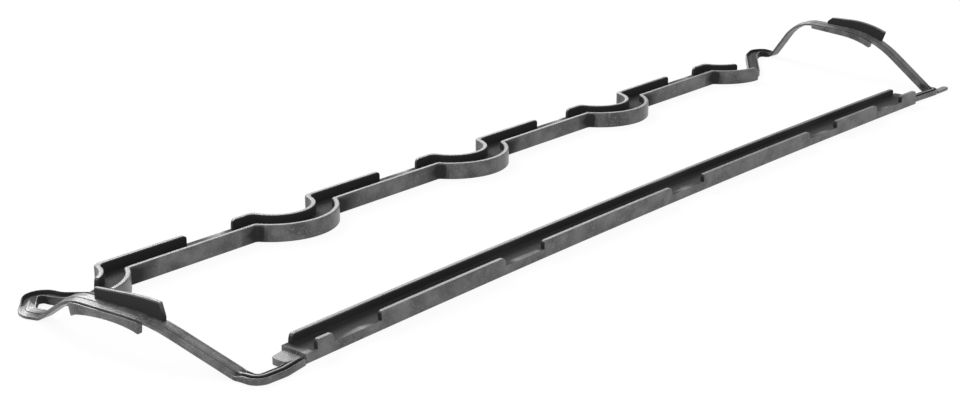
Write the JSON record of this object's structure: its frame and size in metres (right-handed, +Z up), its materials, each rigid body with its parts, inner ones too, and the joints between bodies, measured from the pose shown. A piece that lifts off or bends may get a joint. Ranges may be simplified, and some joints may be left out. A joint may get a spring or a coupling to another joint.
{
  "type": "valve cover gasket",
  "caption": "Black moulded rubber gasket: an open loop of two long channels joined by strips that arch over the camshaft ends, the far side curling in round the head bolts.",
  "frame": {"origin": "middle of the bounding box's underside, on the sealing face", "axes": "+X along the crankshaft, from the low arch to the high arch; +Y from the straight near side to the lobed side; +Z up, away from the cylinder head"},
  "size_m": [0.4142, 0.101, 0.0238],
  "materials": {
    "rubber": "satin"
  },
  "bodies": {
    "root": {"gasket": "rubber"}
  },
  "joints": []
}
